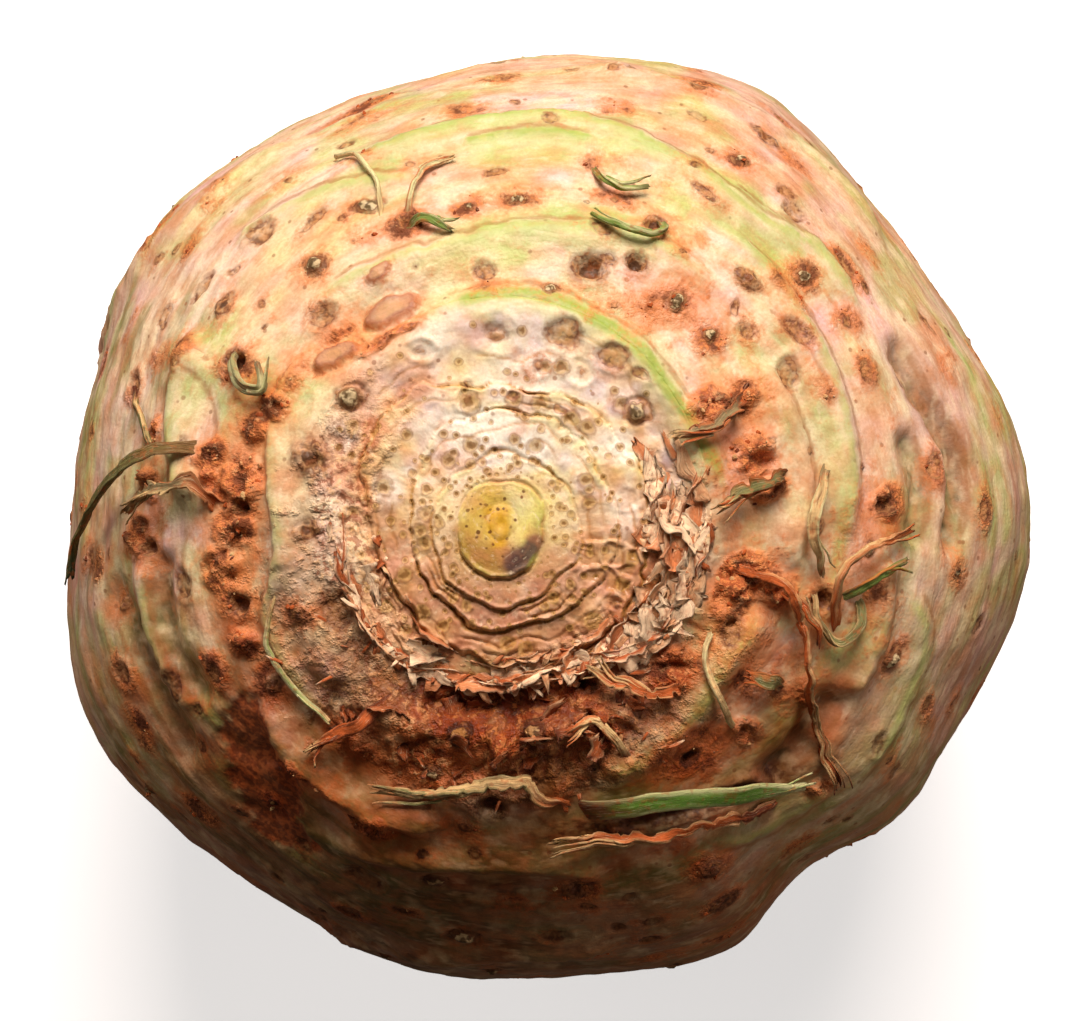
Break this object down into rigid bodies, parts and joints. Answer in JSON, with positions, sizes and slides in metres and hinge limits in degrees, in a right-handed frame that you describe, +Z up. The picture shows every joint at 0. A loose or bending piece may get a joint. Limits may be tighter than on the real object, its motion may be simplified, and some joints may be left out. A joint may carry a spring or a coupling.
{
  "type": "celeriac root",
  "caption": "Whole trimmed celeriac: a plump lobed root with a flat crown of cut leaf bases, old leaf ridges, root scars and torn dry strips.",
  "frame": {"origin": "centre of the trimmed flat spot that the root rests on, straight below its growing point", "axes": "+Z up through the growing point in the middle of the crown; +X towards the side that bulges furthest from it"},
  "size_m": [0.1239, 0.1185, 0.103],
  "materials": {
    "skin": null
  },
  "bodies": {
    "root": {"celeriac_root": "skin"}
  },
  "joints": []
}
